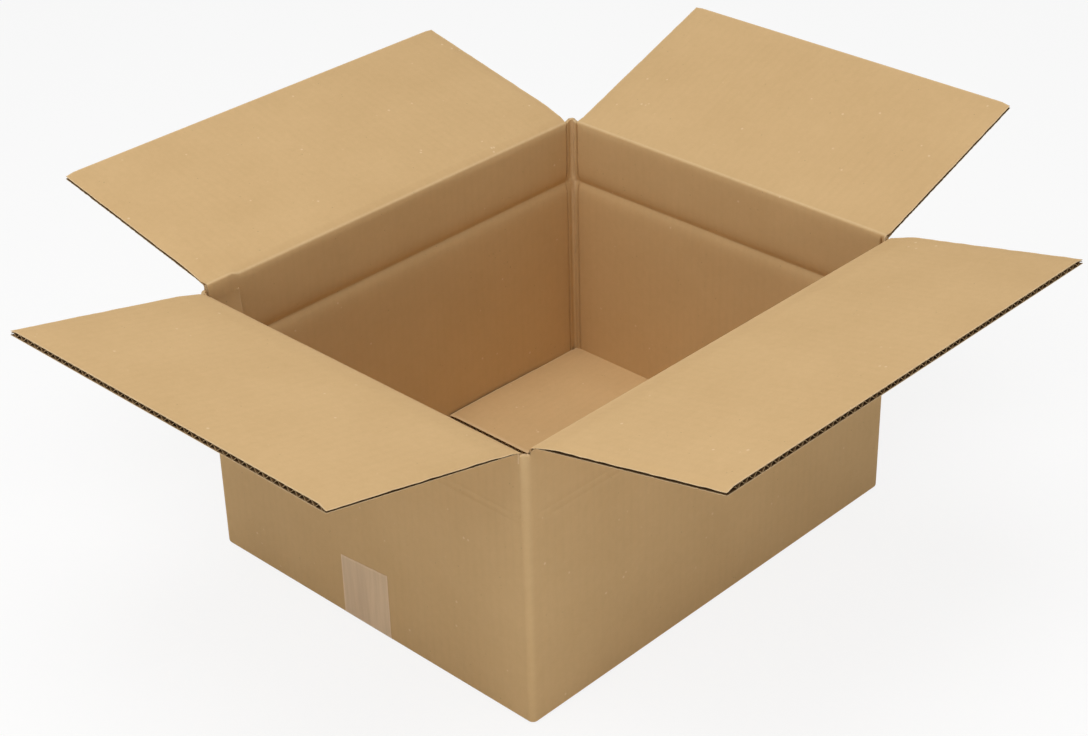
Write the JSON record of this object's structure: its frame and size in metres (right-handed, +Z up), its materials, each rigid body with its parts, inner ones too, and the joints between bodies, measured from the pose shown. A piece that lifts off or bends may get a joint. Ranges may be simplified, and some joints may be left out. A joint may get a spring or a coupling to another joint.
{
  "type": "open cardboard box",
  "caption": "Open corrugated shipping box with a closed, taped bottom and top flaps that fold on creases from back against the walls to shut.",
  "frame": {"origin": "centre of the underside, on the surface that the box stands on", "axes": "+X along the length, +Y along the width, +Z up; the long wall at -Y and the short wall at -X are the front"},
  "size_m": [0.718, 0.6557, 0.2792],
  "materials": {
    "kraft_board": "matt uncoated brown kraft paper",
    "packing_tape": "clear glossy film"
  },
  "bodies": {
    "body": {"box_body": "kraft_board", "bottom_tape": "packing_tape"},
    "short_flap_front": {"short_flap_front": "kraft_board"},
    "short_flap_back": {"short_flap_back": "kraft_board"},
    "long_flap_front": {"long_flap_front": "kraft_board"},
    "long_flap_back": {"long_flap_back": "kraft_board"}
  },
  "joints": [
    {"name": "short_flap_front_crease", "type": "hinge", "parent": "body", "child": "short_flap_front", "pos_m": [-0.2, 0, 0.2215], "axis": [0, 1, 0], "range_deg": [-97.6, 167.4]},
    {"name": "short_flap_back_crease", "type": "hinge", "parent": "body", "child": "short_flap_back", "pos_m": [0.2, 0, 0.2215], "axis": [0, -1, 0], "range_deg": [-104, 161]},
    {"name": "long_flap_front_crease", "type": "hinge", "parent": "body", "child": "long_flap_front", "pos_m": [0, -0.166, 0.2258], "axis": [-1, 0, 0], "range_deg": [-97.2, 167.8]},
    {"name": "long_flap_back_crease", "type": "hinge", "parent": "body", "child": "long_flap_back", "pos_m": [0, 0.166, 0.2258], "axis": [1, 0, 0], "range_deg": [-97, 168]}
  ]
}
